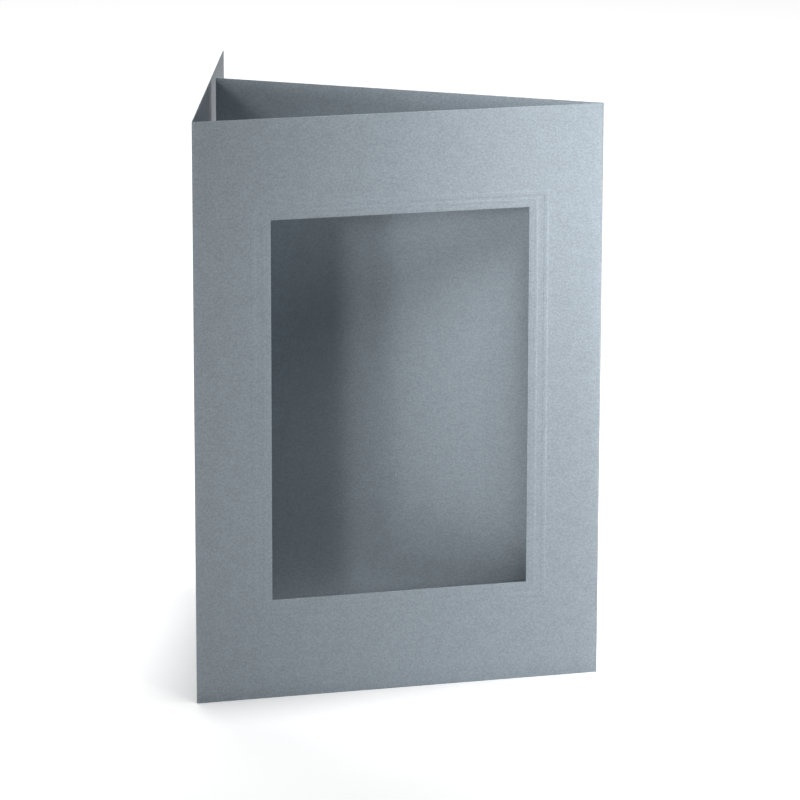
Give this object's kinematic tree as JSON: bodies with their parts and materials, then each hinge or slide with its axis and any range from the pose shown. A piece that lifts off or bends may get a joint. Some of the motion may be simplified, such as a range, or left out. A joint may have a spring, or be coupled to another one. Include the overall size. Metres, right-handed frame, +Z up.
{
  "type": "passe-partout card",
  "caption": "Upright folded card of pearl blue-grey stock: a front with a rectangular window and embossed frames, a back leaf and a flap behind the window.",
  "frame": {"origin": "under the middle of the standing card's box, at the height of its lower cut edges", "axes": "+Z up along the creases, +X along the front from the leaf's crease to the flap's crease, and the front faces -Y"},
  "size_m": [0.12, 0.1148, 0.169],
  "materials": {
    "card": "satin"
  },
  "bodies": {
    "root": {"folded_card": "card"}
  },
  "joints": []
}
